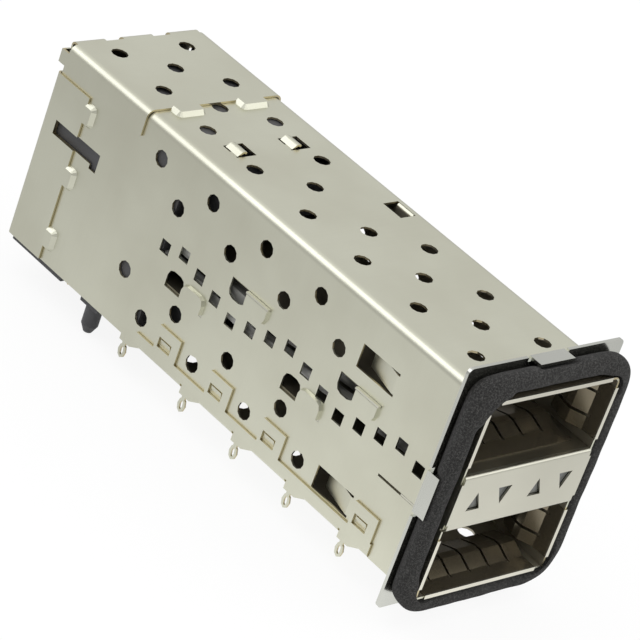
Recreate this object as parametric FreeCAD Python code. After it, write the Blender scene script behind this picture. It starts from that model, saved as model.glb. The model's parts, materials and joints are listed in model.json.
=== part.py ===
"""Stacked QSFP connector for a circuit board.

A folded sheet-metal cage with a rear cover, a floor plate, a port separator, a front
flange with its gasket, spring strips round each mouth, light pipes, and a moulded
contact block whose contacts reach down to the board.
Axes: X across, Y from the mouth to the rear, Z up from the board's surface. The shapes are
drawn from the mouth, and the origin is then moved to the contact block's foot on the board.
"""
import FreeCAD, Part
import math
import os

V = FreeCAD.Vector

# Driving dimensions in millimetres

# Sheet and fits
SHEET = 0.25              # cage sheet
BEND = 0.75               # inside radius of the cage's long bends
FOLD = 0.30               # inside radius of short folds
FIT = 0.03                # gap between sheets that slide on each other
MOULD_FIT = 0.12          # gap round the moulded contact block

# Cage envelope
CAGE_WIDTH = 20.4
CAGE_LENGTH = 74.2
BOARD_GAP = 0.75          # underside of the floor above the board
LOWER_PORT_HEIGHT = 8.9
UPPER_PORT_HEIGHT = 9.2
SEPARATOR_HEIGHT = 7.15
SHELL_REAR_CUT = 13.7     # length of top left open under the rear cover
SHELL_TOP_STEP = 0.1      # drop of the wall tops below the long bends, under the rear cover

# Round vent holes
VENT_DIAMETER = 2.1
VENT_SIDES = 10                   # flats that make up a vent's round edge
SIDE_VENT_FIRST = 21.6
SIDE_VENT_PITCH = 4.755
SIDE_VENT_COLUMNS = 8
SIDE_VENT_DROPS = (3.75, 7.4)     # two upper rows, below the top
SIDE_VENT_RISES = (3.45, 7.1)     # two lower rows, above the cage's bottom
TOP_VENT_SPREAD = 5.25
TOP_VENT_FIRST = 7.8
TOP_VENT_PITCH = 9.43
TOP_VENT_ROWS = 4
TOP_VENT_REAR = 54.05
TOP_VENT_REAR_MIDDLE = 58.1
FLOOR_VENT_ROWS = 4

# Square windows in a zigzag along the separator
SQUARE_SIZE = 1.55
SQUARE_FIRST = 5.78
SQUARE_PITCH = 3.164
SQUARE_COUNT = 15
SQUARE_STEP = 0.9
SQUARE_RUN = 3                    # steps from the lowest row to the highest
SQUARE_PHASE = 2                  # steps already climbed at the first window

# Louvres that take the separator's side tabs
LOUVRE_WINDOW = 2.9
LOUVRE_LENGTH = 3.9
LOUVRE_HEIGHT = 2.1
LOUVRE_RISE = 0.45
LOUVRE_RAMP = 0.15
LOUVRE_ROUND = 0.9
CORNER_STEPS = 2                  # flats that make up a rounded corner of a louvre or pocket
LOW_LOUVRES = (20.7, 41.6)        # front ends, at the lower separator plate
HIGH_LOUVRES = (13.35, 32.3)      # front ends, at the upper separator plate
FRONT_SLIT = 10.55
FRONT_TAB = 6.8

# Module latch tongues
LATCH_ROOT = 12.5
LATCH_WINDOW = 6.05
LATCH_HEIGHT = 2.95
LATCH_LIFT = 1.75
LATCH_TONGUE = 5.1
LATCH_SLOT = 0.30
LATCH_BITE = 1.35

# Floor plate
FLANGE_HEIGHT = 1.8
FLOOR_FRONT_STEP = 7.85           # front end of the side flanges
FLOOR_LENGTH = 49.85
TAB_WIDTH = 3.85
TAB_HEIGHT = 4.9
TAB_CENTRES = (9.95, 25.9, 35.4, 44.8)
TAB_WINDOW_WIDTH = 2.2
TAB_WINDOW_HEIGHT = 1.3
TAB_WINDOW_LIFT = 2.25
TAB_WINDOW_SHIFT = 0.35
CATCH_DEPTH = 0.2

# Press-fit pins
PIN_STATIONS = (11.9, 21.2, 30.65, 40.15, 51.4)
PIN_STEM = 0.56
PIN_STEM_LENGTH = 0.45
EYE_DROP = 1.1                    # middle of a pin's eye below the board's surface
EYE_OUTLINE = (0.62, 0.95)        # half width and half height
EYE_HOLE = (0.25, 0.6)            # half width and half height
EYE_SIDES = 8                     # flats that make up an eye's round edge
SHOULDER_REAR = 0.9
SHOULDER_FRONT = 2.4

# Rear cover
COVER_DEPTH = 15.4
SKIRT_DROP = 3.1
SIDE_FLANGE = 6.0
SIDE_FLANGE_TOP = 3.75            # below the cage top
COVER_BOTTOM = 0.8
BEND_SLOT_INNER = 2.3
BEND_SLOT_OUTER = 5.0
BEND_SLOT_DEPTH = 0.55
SIDE_SLOT_REACH = 10.15
SIDE_SLOT_END = 2.0
SIDE_SLOT_HEIGHT = 1.8
SIDE_SLOT_Z = 15.7
SIDE_NOTCH_LENGTH = 1.2           # step down at the slot's front end
SIDE_NOTCH_DROP = 0.6
COVER_VENT_FIRST = 3.4
COVER_VENT_PITCH = 4.2
CORNER_HOOK_HEIGHT = 1.7
CORNER_HOOK_DROP = 0.9
CORNER_HOOK_LIP = 1.1

# Raised pockets of the shell that hold the rear cover
POCKET_RAMP = 0.4
RAMP_GAUGE = 0.12                 # least thickness kept in a drawn ramp
POCKET_CORNER = 0.6
POCKET_SIDE_LENGTH = 2.9
POCKET_SIDE_DEPTH = 1.6
POCKET_SIDE_CENTRES = (3.9, 12.3, 20.75)
POCKET_TOP_LENGTH = 4.4
POCKET_TOP_DEPTH = 1.8
POCKET_TOP_SPREAD = 5.0

# Lifted hooks and the stop window in the top
HOOK_SPREAD = 4.25
HOOK_STATION = 49.45
HOOK_WINDOW_WIDTH = 3.0
HOOK_WINDOW_LENGTH = 2.6
HOOK_TAB_LENGTH = 1.6
HOOK_TAB_WIDTH = 2.2
HOOK_CREST = 1.05
HOOK_RISE = 0.6
HOOK_CURL = 0.2                   # drop of the tab's tip below its crest
HOOK_SLIT = 0.25
STOP_X = 7.65
STOP_STATION = 34.45
STOP_WIDTH = 2.4
STOP_LENGTH = 3.1
STOP_TAB = 1.1

# Separator and light pipes
SEPARATOR_GAP = 0.4               # rear edge in front of the contact block
SEPARATOR_BEND = 0.1              # inside radius of the sign face's edges
SEPARATOR_EAR = 0.9
SIGN_SPREAD_INNER = 2.7
SIGN_SPREAD_OUTER = 6.95
SIGN_WIDTH = 2.1
SIGN_HEIGHT = 2.25
PIPE_SIZE = 1.3                   # square section
PIPE_TIP = 3.0
PIPE_RECESS = 0.05                # tip behind the mouth's plane
PIPE_STRAIGHT = 8.0
PIPE_SLANT_END = 34.0
PIPE_LANE = 8.6
PIPE_RISE = 1.25
PIPE_BEND = 0.9
PIPE_FOOT = 0.4
PIPE_REAR_NEAR = 0.95
PIPE_REAR_FAR = 2.6
PIPE_FIT = 0.08

# Front flange and gasket
FLANGE_SETBACK = 2.8
FLANGE_THICKNESS = 0.4
FLANGE_MARGIN_X = 2.0
FLANGE_MARGIN_Z = 2.75
FLANGE_CORNER = 0.7
FLANGE_TAB_LENGTH = 1.45
FLANGE_TAB_WIDTH = 5.4
FLANGE_NOTCH = 0.5
GASKET_FRONT = -0.15
GASKET_MARGIN_X = 2.1
GASKET_MARGIN_Z = 2.45
GASKET_CORNER = 3.6
GASKET_INNER_GAP = 0.25
GASKET_INNER_CORNER = 0.7
GASKET_BEVEL = 0.8

# Spring strips
SPRING = 0.10
SPRING_LEAF = 2.2
SPRING_ROOT = 2.0                 # of the strips folded over the mouth's edge
SPRING_RISE = 2.2                 # from a finger's root to its crest
SPRING_FALL = 2.6                 # from the crest to the tip
SPRING_HUMP = 0.87
SPRING_TOP = 0.9                  # length of a finger's flat crest
SPRING_SLIT = 0.35
SPRING_MARGIN = 1.2               # bare length at each end of a strip
SPRING_START = 1.8                # front edge of the strips on the separator
SEPARATOR_ROOT = 4.4
SEPARATOR_HUMP = 0.7
FINGER_PITCH = 3.1
ACROSS_SLIT_COUNT = 5
UP_SLIT_COUNT = 2

# Moulded contact block
HOUSING_DEPTH = 19.8
HOUSING_REAR = 3.7
CHEEK = 0.4
CHEEK_REAR = 0.35
NOSE_WIDTH = 17.6
NOSE_HEIGHT = 4.8
NOSE_LENGTH = 6.0
NOSE_BEVEL = 0.4
CARD_WIDTH = 15.9
CARD_HEIGHT = 1.3
CARD_DEPTH = 5.4
FOOT_STEP = 1.1                   # raised underside in front of the foot
FOOT_LENGTH = 9.9
FOOT_SILL = 1.0                   # solid strip of the foot in front of the contact legs
PEG_RADIUS = 1.05
PEG_LENGTH = 3.5                  # below the board's surface, with the tapered tip
PEG_TIP = 1.0
PEG_TIP_RADIUS = 0.55
PEG_INSET = 1.5
PEG_STATION = 15.4
PAD_LENGTH = 3.2

# Contacts
CONTACT_COUNT = 19
CONTACT_PITCH = 0.8
CONTACT_WIDTH = 0.28
CONTACT_THICK = 0.22
CONTACT_TAIL = 1.5
CONTACT_FIT = 0.02
BEAM_LIFT = 1.15                  # beam above or below the card's middle
BEAM_START = 0.9                  # beam tips behind the nose's front
BEAM_DIP = 0.5                    # beam tip above or below the card's middle
BEAM_RAMP = 2.2
LEG_PITCH = 1.55                  # between rows of legs

# Levels and planes that follow from the driving dimensions
HALF = CAGE_WIDTH / 2
WALL_IN = HALF - SHEET
FLOOR_TOP = BOARD_GAP + SHEET
SEP_LOW = FLOOR_TOP + LOWER_PORT_HEIGHT
SEP_HIGH = SEP_LOW + SEPARATOR_HEIGHT
MIDDLE = (SEP_LOW + SEP_HIGH) / 2
TOP_IN = SEP_HIGH + UPPER_PORT_HEIGHT
TOP = TOP_IN + SHEET
PORTS = ((FLOOR_TOP, LOWER_PORT_HEIGHT), (SEP_HIGH, UPPER_PORT_HEIGHT))
COVER_FRONT = CAGE_LENGTH - COVER_DEPTH
FLANGE_EDGE = CAGE_LENGTH - SIDE_FLANGE
POCKET_RISE = 2 * (SHEET + FIT)
HOUSING_BACK = CAGE_LENGTH - HOUSING_REAR
HOUSING_FRONT = HOUSING_BACK - HOUSING_DEPTH
HOUSING_HALF = WALL_IN - MOULD_FIT
SEPARATOR_END = HOUSING_FRONT - SEPARATOR_GAP
NOSE_FRONT = HOUSING_FRONT - NOSE_LENGTH
FOOT_FRONT = CAGE_LENGTH - FOOT_LENGTH
LEGS_FRONT = FOOT_FRONT + FOOT_SILL
DATUM = FOOT_FRONT + FOOT_SILL / 2
OVER = 1.0                        # overshoot of cutting tools


def block(x0, x1, y0, y1, z0, z1):
    """Box between two opposite corners."""
    return Part.makeBox(x1 - x0, y1 - y0, z1 - z0, V(x0, y0, z0))


def wall_cut(y0, y1, z0, z1):
    """Cutter for a rectangular opening in the left wall and whatever lies on it."""
    return block(-HALF - OVER, -WALL_IN + OVER, y0, y1, z0, z1)


def rounded_wire(points, radii):
    """Closed flat outline whose corners are rounded by the given radii."""
    count = len(points)
    legs = []
    for i, point in enumerate(points):
        if radii[i] == 0:
            legs.append((point, None, point))
            continue
        back = (points[i - 1] - point).normalize()
        ahead = (points[(i + 1) % count] - point).normalize()
        half = back.getAngle(ahead) / 2
        reach = radii[i] / math.tan(half)
        middle = point + (back + ahead).normalize() * (radii[i] / math.sin(half) - radii[i])
        legs.append((point + back * reach, middle, point + ahead * reach))
    edges = []
    for i, (start, middle, end) in enumerate(legs):
        if middle is not None:
            edges.append(Part.Arc(start, middle, end).toShape())
        following = legs[(i + 1) % count][0]
        if end.distanceToPoint(following) > 1e-6:
            edges.append(Part.makeLine(end, following))
    return Part.Wire(edges)


def plate(points, radii, sweep):
    """Flat outline with rounded corners, swept straight into a solid."""
    return Part.Face(rounded_wire(points, radii)).extrude(sweep)


def prism(points, sweep):
    """Flat outline with sharp corners, swept straight into a solid."""
    return plate(points, [0] * len(points), sweep)


def rectangle(half, low, high, y):
    """Corners of an upright rectangle across the cage, from the lower left."""
    return [V(-half, y, low), V(half, y, low), V(half, y, high), V(-half, y, high)]


def folded(points, bends, thickness, sweep):
    """Sheet folded along a path and swept straight; it lies to the left of the path."""
    normal = V(sweep).normalize()
    ways = [(b - a).normalize() for a, b in zip(points, points[1:])]
    sides = [normal.cross(way) for way in ways]
    far = [points[0] + sides[0] * thickness]
    near_radii, far_radii = [0], [0]
    for i, bend in enumerate(bends):
        before, after = sides[i], sides[i + 1]
        far.append(points[i + 1] + (before + after) * (thickness / (1 + before.dot(after))))
        outer = bend + thickness if bend else 0
        left_turn = ways[i].cross(ways[i + 1]).dot(normal) > 0
        near_radii.append(outer if left_turn else bend)
        far_radii.append(bend if left_turn else outer)
    far.append(points[-1] + sides[-1] * thickness)
    return plate(list(points) + far[::-1], near_radii + [0, 0] + far_radii[::-1], sweep)


def mirrored(shape):
    """The same shape on the other side of the middle plane."""
    return shape.mirror(V(0, 0, 0), V(1, 0, 0))


def both_sides(shapes):
    """Left-hand shapes followed by their right-hand mirror images."""
    return list(shapes) + [mirrored(shape) for shape in shapes]


def placed(shape, along, outward, inner, origin):
    """Puts a shape drawn along X, outward Y and inner Z into the cage's axes."""
    matrix = FreeCAD.Matrix(along.x, outward.x, inner.x, origin.x,
                            along.y, outward.y, inner.y, origin.y,
                            along.z, outward.z, inner.z, origin.z,
                            0, 0, 0, 1)
    copy = shape.copy()
    copy.Placement = FreeCAD.Placement(matrix).multiply(copy.Placement)
    return copy


def arched(length, depth, corner, inset, height):
    """Outline with rounded far corners, drawn along X and Z at a height; the near edge stays straight."""
    radius = corner - inset
    turns = [math.pi / 2 * k / CORNER_STEPS for k in range(CORNER_STEPS + 1)]
    right = [V(length - corner + radius * math.cos(turn), height,
               depth - corner + radius * math.sin(turn)) for turn in turns]
    left = [V(length - point.x, height, point.z) for point in reversed(right)]
    return [V(length - inset, height, 0)] + right + left + [V(inset, height, 0)]


def raised(length, depth, rise, corner, ramp, poses):
    """Skins and hollows of raised pockets with rounded far corners, sheared along the near edge."""
    def hill(inset, drop):
        base = arched(length, depth, corner, inset, -drop)
        crest = arched(length, depth, corner, inset + ramp, rise - drop)
        rings = [base, crest[::-1]]
        for i in range(len(base)):
            j = (i + 1) % len(base)
            rings.append([base[i], crest[i], crest[j], base[j]])
        return Part.Solid(Part.Shell([Part.Face(Part.makePolygon(ring + ring[:1])) for ring in rings]))

    skin, hollow = hill(0, 0), hill(RAMP_GAUGE, SHEET)
    return [placed(skin, *pose) for pose in poses], [placed(hollow, *pose) for pose in poses]


def vents(places, axis):
    """Cutters for round vent holes, centred on the sheet they go through."""
    reach = axis * (SHEET + OVER)
    spoke = V(axis.z, axis.x, 0) * (VENT_DIAMETER / 2)
    spokes = []
    for k in range(VENT_SIDES):
        turn = 2 * math.pi * k / VENT_SIDES
        spokes.append(spoke * math.cos(turn) + axis.cross(spoke) * math.sin(turn) - reach)
    return [prism([V(*place) + arm for arm in spokes], reach * 2) for place in places]


def side_vents():
    """Vents of the left wall: rows near and far from the edges, taken in turn."""
    places = []
    for column in range(SIDE_VENT_COLUMNS):
        y = SIDE_VENT_FIRST + column * SIDE_VENT_PITCH
        places.append((-HALF, y, TOP - SIDE_VENT_DROPS[1 - column % 2]))
        places.append((-HALF, y, BOARD_GAP + SIDE_VENT_RISES[column % 2]))
    return vents(places, V(1, 0, 0))


def staggered(rows):
    """Staggered pattern of vents shared by the top and the floor."""
    last = TOP_VENT_FIRST + rows * TOP_VENT_PITCH
    places = [(-TOP_VENT_SPREAD, last), (TOP_VENT_SPREAD, last)]
    for row in range(rows):
        y = TOP_VENT_FIRST + row * TOP_VENT_PITCH
        places += [(-TOP_VENT_SPREAD, y), (TOP_VENT_SPREAD, y), (0, y + TOP_VENT_PITCH / 2)]
    return places


def top_vents():
    """Vents of the top; the stop window takes the place of one of them."""
    places = staggered(TOP_VENT_ROWS) + [(0, TOP_VENT_REAR_MIDDLE)]
    places += [(side * TOP_VENT_SPREAD, TOP_VENT_REAR) for side in (-1, 1)]
    reach = (STOP_LENGTH + VENT_DIAMETER) / 2
    return vents([(x, y, TOP) for x, y in places if x <= 0 or abs(y - STOP_STATION) > reach], V(0, 0, 1))


def squares():
    """Square windows of the left wall, stepping up and down in a zigzag."""
    half = SQUARE_SIZE / 2
    cuts = []
    for k in range(SQUARE_COUNT):
        y = SQUARE_FIRST + k * SQUARE_PITCH
        climbed = SQUARE_RUN - abs((k + SQUARE_PHASE) % (2 * SQUARE_RUN) - SQUARE_RUN)
        z = MIDDLE + SQUARE_STEP * (climbed - SQUARE_RUN / 2)
        cuts.append(wall_cut(y - half, y + half, z - half, z + half))
    return cuts


def pockets():
    """Pockets in the left wall and the top that take the rear cover's tabs."""
    side_poses = [(V(0, 0, 1), V(-1, 0, 0), V(0, -1, 0), V(-HALF, FLANGE_EDGE, z - POCKET_SIDE_LENGTH / 2))
                  for z in POCKET_SIDE_CENTRES]
    top_poses = [(V(1, 0, 0), V(0, 0, 1), V(0, -1, 0), V(x - POCKET_TOP_LENGTH / 2, COVER_FRONT, TOP))
                 for x in (-POCKET_TOP_SPREAD, POCKET_TOP_SPREAD)]
    skins, hollows = raised(POCKET_SIDE_LENGTH, POCKET_SIDE_DEPTH, POCKET_RISE,
                            POCKET_CORNER, POCKET_RAMP, side_poses)
    top_skins, top_hollows = raised(POCKET_TOP_LENGTH, POCKET_TOP_DEPTH, POCKET_RISE,
                                    POCKET_CORNER, POCKET_RAMP, top_poses)
    return both_sides(skins) + top_skins, both_sides(hollows) + top_hollows


def louvres():
    """Raised louvres of both walls, with the windows and slits that go with them."""
    rows = [(y, SEP_LOW, 1) for y in LOW_LOUVRES] + [(y, SEP_HIGH, -1) for y in HIGH_LOUVRES]
    window = prism(arched(LOUVRE_WINDOW, LOUVRE_HEIGHT, LOUVRE_ROUND, 0, -OVER), V(0, SHEET + 2 * OVER, 0))
    poses, cuts = [], []
    for y, level, way in rows:
        edge = level + way * (SHEET + FIT)
        start = y + LOUVRE_LENGTH
        end = start + LOUVRE_WINDOW
        axes = (V(0, way, 0), V(-1, 0, 0), V(0, 0, way))
        poses.append(axes + (V(-HALF, y if way > 0 else start, edge),))
        cuts.append(placed(window, *axes, V(-HALF, start if way > 0 else end, edge)))
        cuts.append(wall_cut(y, end, *sorted((level - way * FIT, edge))))
    skins, hollows = raised(LOUVRE_LENGTH, LOUVRE_HEIGHT, LOUVRE_RISE, LOUVRE_ROUND, LOUVRE_RAMP, poses)
    return both_sides(skins), both_sides(hollows + cuts)


def latches():
    """Windows of the left-hand module latches, and the tongues bent into the ports."""
    cuts, tongues = [], []
    for floor, height in PORTS:
        low = floor + LATCH_LIFT
        cuts.append(wall_cut(LATCH_ROOT, LATCH_ROOT + LATCH_WINDOW, low, low + LATCH_HEIGHT))
        level = low + LATCH_SLOT
        path = [V(-WALL_IN, LATCH_ROOT - FIT, level), V(-WALL_IN, LATCH_ROOT + FOLD, level),
                V(-WALL_IN + LATCH_BITE, LATCH_ROOT + LATCH_TONGUE, level)]
        tongues.append(folded(path, [0], SHEET, V(0, 0, LATCH_HEIGHT - 2 * LATCH_SLOT)))
    return cuts, tongues


def oval(y, size):
    """Corners of an upright oval in the left wall's plane, below the board's surface."""
    turns = [2 * math.pi * k / EYE_SIDES for k in range(EYE_SIDES)]
    return [V(-HALF, y + size[0] * math.sin(turn), size[1] * math.cos(turn) - EYE_DROP) for turn in turns]


def pins():
    """Press-fit pins of the left wall, each with an eye and a shoulder on the board."""
    through = V(SHEET, 0, 0)
    crown = FLOOR_TOP + 2 * FOLD
    shapes = []
    for y in PIN_STATIONS:
        front, rear = y - SHOULDER_FRONT, y + SHOULDER_REAR
        shoulder = ((rear, 0), (rear, crown), (front, crown), (front, BOARD_GAP), (y - SHOULDER_REAR, 0))
        stem = block(-HALF, -WALL_IN, y - PIN_STEM / 2, y + PIN_STEM / 2, -PIN_STEM_LENGTH, BOARD_GAP)
        eye = prism(oval(y, EYE_OUTLINE), through).cut(prism(oval(y, EYE_HOLE), through))
        shapes += [prism([V(-HALF, a, b) for a, b in shoulder], through), stem.fuse(eye)]
    return shapes


def catches():
    """Ramps on the left wall that snap into the windows of the floor plate's tabs."""
    low = BOARD_GAP + TAB_WINDOW_LIFT + SHEET
    high = BOARD_GAP + TAB_WINDOW_LIFT + TAB_WINDOW_HEIGHT - SHEET
    half = TAB_WINDOW_WIDTH / 2 - SHEET
    shapes = []
    for centre in TAB_CENTRES:
        y = centre + TAB_WINDOW_SHIFT - half
        ramp = [V(-HALF, y, low), V(-HALF - CATCH_DEPTH, y, high), V(-HALF, y, high)]
        shapes.append(prism(ramp, V(0, 2 * half, 0)))
    return shapes


def top_hooks():
    """Windows in the top and the tabs lifted from their left edges."""
    cuts, tabs = [], []
    front = HOOK_STATION - HOOK_WINDOW_LENGTH / 2
    y = HOOK_STATION - HOOK_TAB_WIDTH / 2
    for x in (-HOOK_SPREAD, HOOK_SPREAD):
        left = x - HOOK_WINDOW_WIDTH / 2
        cuts.append(block(left, left + HOOK_WINDOW_WIDTH, front, front + HOOK_WINDOW_LENGTH,
                          TOP_IN - OVER, TOP + OVER))
        path = [V(left - FIT, y, TOP), V(left + HOOK_SLIT, y, TOP), V(left + HOOK_CREST, y, TOP + HOOK_RISE),
                V(left + HOOK_TAB_LENGTH, y, TOP + HOOK_RISE - HOOK_CURL)]
        slit = block(left, left + HOOK_SLIT, HOOK_STATION, HOOK_STATION + HOOK_TAB_WIDTH,
                     TOP_IN - OVER, TOP + OVER)
        tabs.append(folded(path, [0, FOLD], SHEET, V(0, HOOK_TAB_WIDTH, 0)).cut(slit))
    return cuts, tabs


def stop_window():
    """Single window near the right edge of the top, with its tab bent down."""
    left, right = STOP_X - STOP_WIDTH / 2, STOP_X + STOP_WIDTH / 2
    front = STOP_STATION - STOP_LENGTH / 2
    cut = block(left, right, front, front + STOP_LENGTH, TOP_IN - OVER, TOP + OVER)
    y = front + SHEET
    path = [V(right - FOLD, y, TOP_IN - FOLD - STOP_TAB), V(right - FOLD, y, TOP), V(right + FIT, y, TOP)]
    return cut, folded(path, [FOLD], SHEET, V(0, STOP_LENGTH - 2 * SHEET, 0))


def cage_shell():
    """Top and side walls folded from one sheet, with every lance, vent and pin."""
    outline = [V(-HALF, 0, BOARD_GAP), V(-HALF, 0, TOP), V(HALF, 0, TOP), V(HALF, 0, BOARD_GAP)]
    shell = folded(outline, [BEND, BEND], SHEET, V(0, CAGE_LENGTH - FOLD, 0))
    wall_cuts = side_vents() + squares()
    wall_cuts.append(wall_cut(-OVER, FRONT_SLIT, SEP_LOW - FIT, SEP_LOW + SHEET + FIT))
    wall_cuts.append(wall_cut(CAGE_LENGTH - SIDE_SLOT_REACH, CAGE_LENGTH - SIDE_SLOT_END,
                              SIDE_SLOT_Z, SIDE_SLOT_Z + SIDE_SLOT_HEIGHT))
    slot_front = CAGE_LENGTH - SIDE_SLOT_REACH
    wall_cuts.append(wall_cut(slot_front, slot_front + SIDE_NOTCH_LENGTH,
                              SIDE_SLOT_Z - SIDE_NOTCH_DROP, SIDE_SLOT_Z + FIT))
    wall_cuts.append(wall_cut(FLOOR_FRONT_STEP - FIT, FLOOR_LENGTH + FIT, -OVER, FLOOR_TOP + FOLD + FIT))
    pocket_skins, pocket_hollows = pockets()
    louvre_skins, louvre_cuts = louvres()
    latch_cuts, tongues = latches()
    hook_cuts, hook_tabs = top_hooks()
    stop_cut, stop_tab = stop_window()
    rear_cut = block(-HALF - OVER, HALF + OVER, CAGE_LENGTH - SHELL_REAR_CUT, CAGE_LENGTH + OVER,
                     TOP_IN - BEND - SHELL_TOP_STEP, TOP + OVER)
    shell = shell.fuse(louvre_skins + pocket_skins)
    shell = shell.cut(both_sides(wall_cuts + latch_cuts) + louvre_cuts + pocket_hollows
                      + top_vents() + hook_cuts + [stop_cut, rear_cut])
    return shell.fuse(both_sides(tongues + pins() + catches()) + hook_tabs + [stop_tab])


def rear_cover():
    """Back panel, top cap, skirts and side flanges folded from one sheet."""
    inner, outer = HALF + FIT, HALF + FIT + SHEET
    roof, back = TOP + FIT, CAGE_LENGTH + FIT
    skirt = roof - SKIRT_DROP
    cap_path = [V(inner, COVER_FRONT, skirt), V(inner, COVER_FRONT, roof),
                V(-inner, COVER_FRONT, roof), V(-inner, COVER_FRONT, skirt)]
    cap = folded(cap_path, [BEND, BEND], SHEET, V(0, COVER_DEPTH - BEND, 0))
    edge = inner - BEND
    panel_path = [V(-edge, COVER_FRONT, roof), V(-edge, back, roof), V(-edge, back, COVER_BOTTOM)]
    panel = folded(panel_path, [FOLD], SHEET, V(2 * edge, 0, 0))
    flange_path = [V(-inner, FLANGE_EDGE, COVER_BOTTOM), V(-inner, back, COVER_BOTTOM),
                   V(inner, back, COVER_BOTTOM), V(inner, FLANGE_EDGE, COVER_BOTTOM)]
    flanges = folded(flange_path, [FOLD, FOLD], SHEET, V(0, 0, TOP - SIDE_FLANGE_TOP - COVER_BOTTOM))
    half = POCKET_SIDE_LENGTH / 2 - 2 * POCKET_RAMP
    tip = FLANGE_EDGE - POCKET_SIDE_DEPTH + 2 * POCKET_RAMP
    tabs = [block(-outer, -inner, tip, FLANGE_EDGE + FOLD, z - half, z + half) for z in POCKET_SIDE_CENTRES]
    hook_top = roof - CORNER_HOOK_DROP
    hook_low = hook_top - CORNER_HOOK_HEIGHT
    lip = back + SHEET + FIT
    tabs.append(block(-outer, -inner, CAGE_LENGTH - 2 * BEND, lip + SHEET, hook_low, hook_top))
    tabs.append(block(-outer, -outer + CORNER_HOOK_LIP, lip, lip + SHEET, hook_low, hook_top))
    half = POCKET_TOP_LENGTH / 2 - 2 * POCKET_RAMP
    tip = COVER_FRONT - POCKET_TOP_DEPTH + 2 * POCKET_RAMP
    tabs.append(block(-POCKET_TOP_SPREAD - half, -POCKET_TOP_SPREAD + half, tip, COVER_FRONT + FOLD,
                      roof, roof + SHEET))
    last = COVER_VENT_FIRST + 2 * COVER_VENT_PITCH
    places = [(side * TOP_VENT_SPREAD, depth) for side in (-1, 1) for depth in (COVER_VENT_FIRST, last)]
    places.append((0, COVER_VENT_FIRST + COVER_VENT_PITCH))
    slot = block(-outer - OVER, -inner + OVER, FLANGE_EDGE - OVER, CAGE_LENGTH - SIDE_SLOT_END,
                 SIDE_SLOT_Z, SIDE_SLOT_Z + SIDE_SLOT_HEIGHT)
    notch = block(-BEND_SLOT_OUTER, -BEND_SLOT_INNER, CAGE_LENGTH - BEND_SLOT_DEPTH, back + SHEET + OVER,
                  TOP - BEND_SLOT_DEPTH, roof + SHEET + OVER)
    cover = cap.fuse([panel, flanges] + both_sides(tabs))
    return cover.cut(vents([(x, CAGE_LENGTH - depth, TOP) for x, depth in places], V(0, 0, 1))
                     + both_sides([slot, notch]))


def floor_plate():
    """Floor with its up-turned side flanges, latch tabs and vents."""
    inner, outer = HALF + FIT, HALF + FIT + SHEET
    flange_top = BOARD_GAP + FLANGE_HEIGHT
    path = [V(outer, FLOOR_FRONT_STEP, flange_top), V(outer, FLOOR_FRONT_STEP, BOARD_GAP),
            V(-outer, FLOOR_FRONT_STEP, BOARD_GAP), V(-outer, FLOOR_FRONT_STEP, flange_top)]
    floor = folded(path, [FOLD, FOLD], SHEET, V(0, FLOOR_LENGTH - FLOOR_FRONT_STEP, 0))
    mouth = block(-WALL_IN + FIT, WALL_IN - FIT, 0, FLOOR_FRONT_STEP + FOLD, BOARD_GAP, FLOOR_TOP)
    low = BOARD_GAP + TAB_WINDOW_LIFT
    tabs, cuts = [], []
    for y in TAB_CENTRES:
        tabs.append(block(-outer, -inner, y - TAB_WIDTH / 2, y + TAB_WIDTH / 2,
                          flange_top - FOLD, BOARD_GAP + TAB_HEIGHT))
        start = y + TAB_WINDOW_SHIFT - TAB_WINDOW_WIDTH / 2
        cuts.append(block(-outer - OVER, -inner + OVER, start, start + TAB_WINDOW_WIDTH,
                          low, low + TAB_WINDOW_HEIGHT))
    for y in PIN_STATIONS:
        cuts.append(block(-outer - OVER, -WALL_IN + FIT, y - SHOULDER_FRONT - FIT, y + SHOULDER_REAR + FIT,
                          -OVER, FLOOR_TOP + FOLD))
    holes = vents([(x, y, BOARD_GAP) for x, y in staggered(FLOOR_VENT_ROWS)], V(0, 0, 1))
    return floor.fuse([mouth] + both_sides(tabs)).cut(both_sides(cuts) + holes)


def signs():
    """Centre and direction (1 up, -1 down) of the four triangular windows."""
    return ((-SIGN_SPREAD_OUTER, 1), (-SIGN_SPREAD_INNER, -1),
            (SIGN_SPREAD_INNER, 1), (SIGN_SPREAD_OUTER, -1))


def triangle(centre, way, y, margin):
    """Corners of one triangular window, or of the tip inside it."""
    half = SIGN_WIDTH / 2 - margin
    tall = SIGN_HEIGHT / 2 - margin
    return [V(centre - way * half, y, MIDDLE - way * tall), V(centre + way * half, y, MIDDLE - way * tall),
            V(centre, y, MIDDLE + way * tall)]


def port_separator():
    """Channel between the ports: lower port's roof, sign face and upper port's floor."""
    half = WALL_IN - FIT
    face = -SHEET - FIT
    path = [V(-half, SEPARATOR_END, SEP_HIGH), V(-half, face, SEP_HIGH),
            V(-half, face, SEP_LOW), V(-half, SEPARATOR_END, SEP_LOW)]
    channel = folded(path, [SEPARATOR_BEND, SEPARATOR_BEND], SHEET, V(2 * half, 0, 0))
    ears = block(-HALF, HALF, face, face + SHEET, SEP_LOW + SEPARATOR_EAR, SEP_HIGH - SEPARATOR_EAR)
    rows = [(HALF, FOLD, FRONT_TAB, SEP_LOW)]
    rows += [(HALF, y + FIT, y + LOUVRE_LENGTH, SEP_LOW) for y in LOW_LOUVRES]
    rows += [(HALF + LOUVRE_RISE, y + FIT, y + LOUVRE_LENGTH, SEP_HIGH - SHEET) for y in HIGH_LOUVRES]
    tabs = [block(-reach, -half + FOLD, start, end, z, z + SHEET) for reach, start, end, z in rows]
    cuts = [prism(triangle(x, way, face - OVER, 0), V(0, SHEET + 2 * OVER, 0)) for x, way in signs()]
    return channel.fuse([ears] + both_sides(tabs)).cut(cuts)


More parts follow.
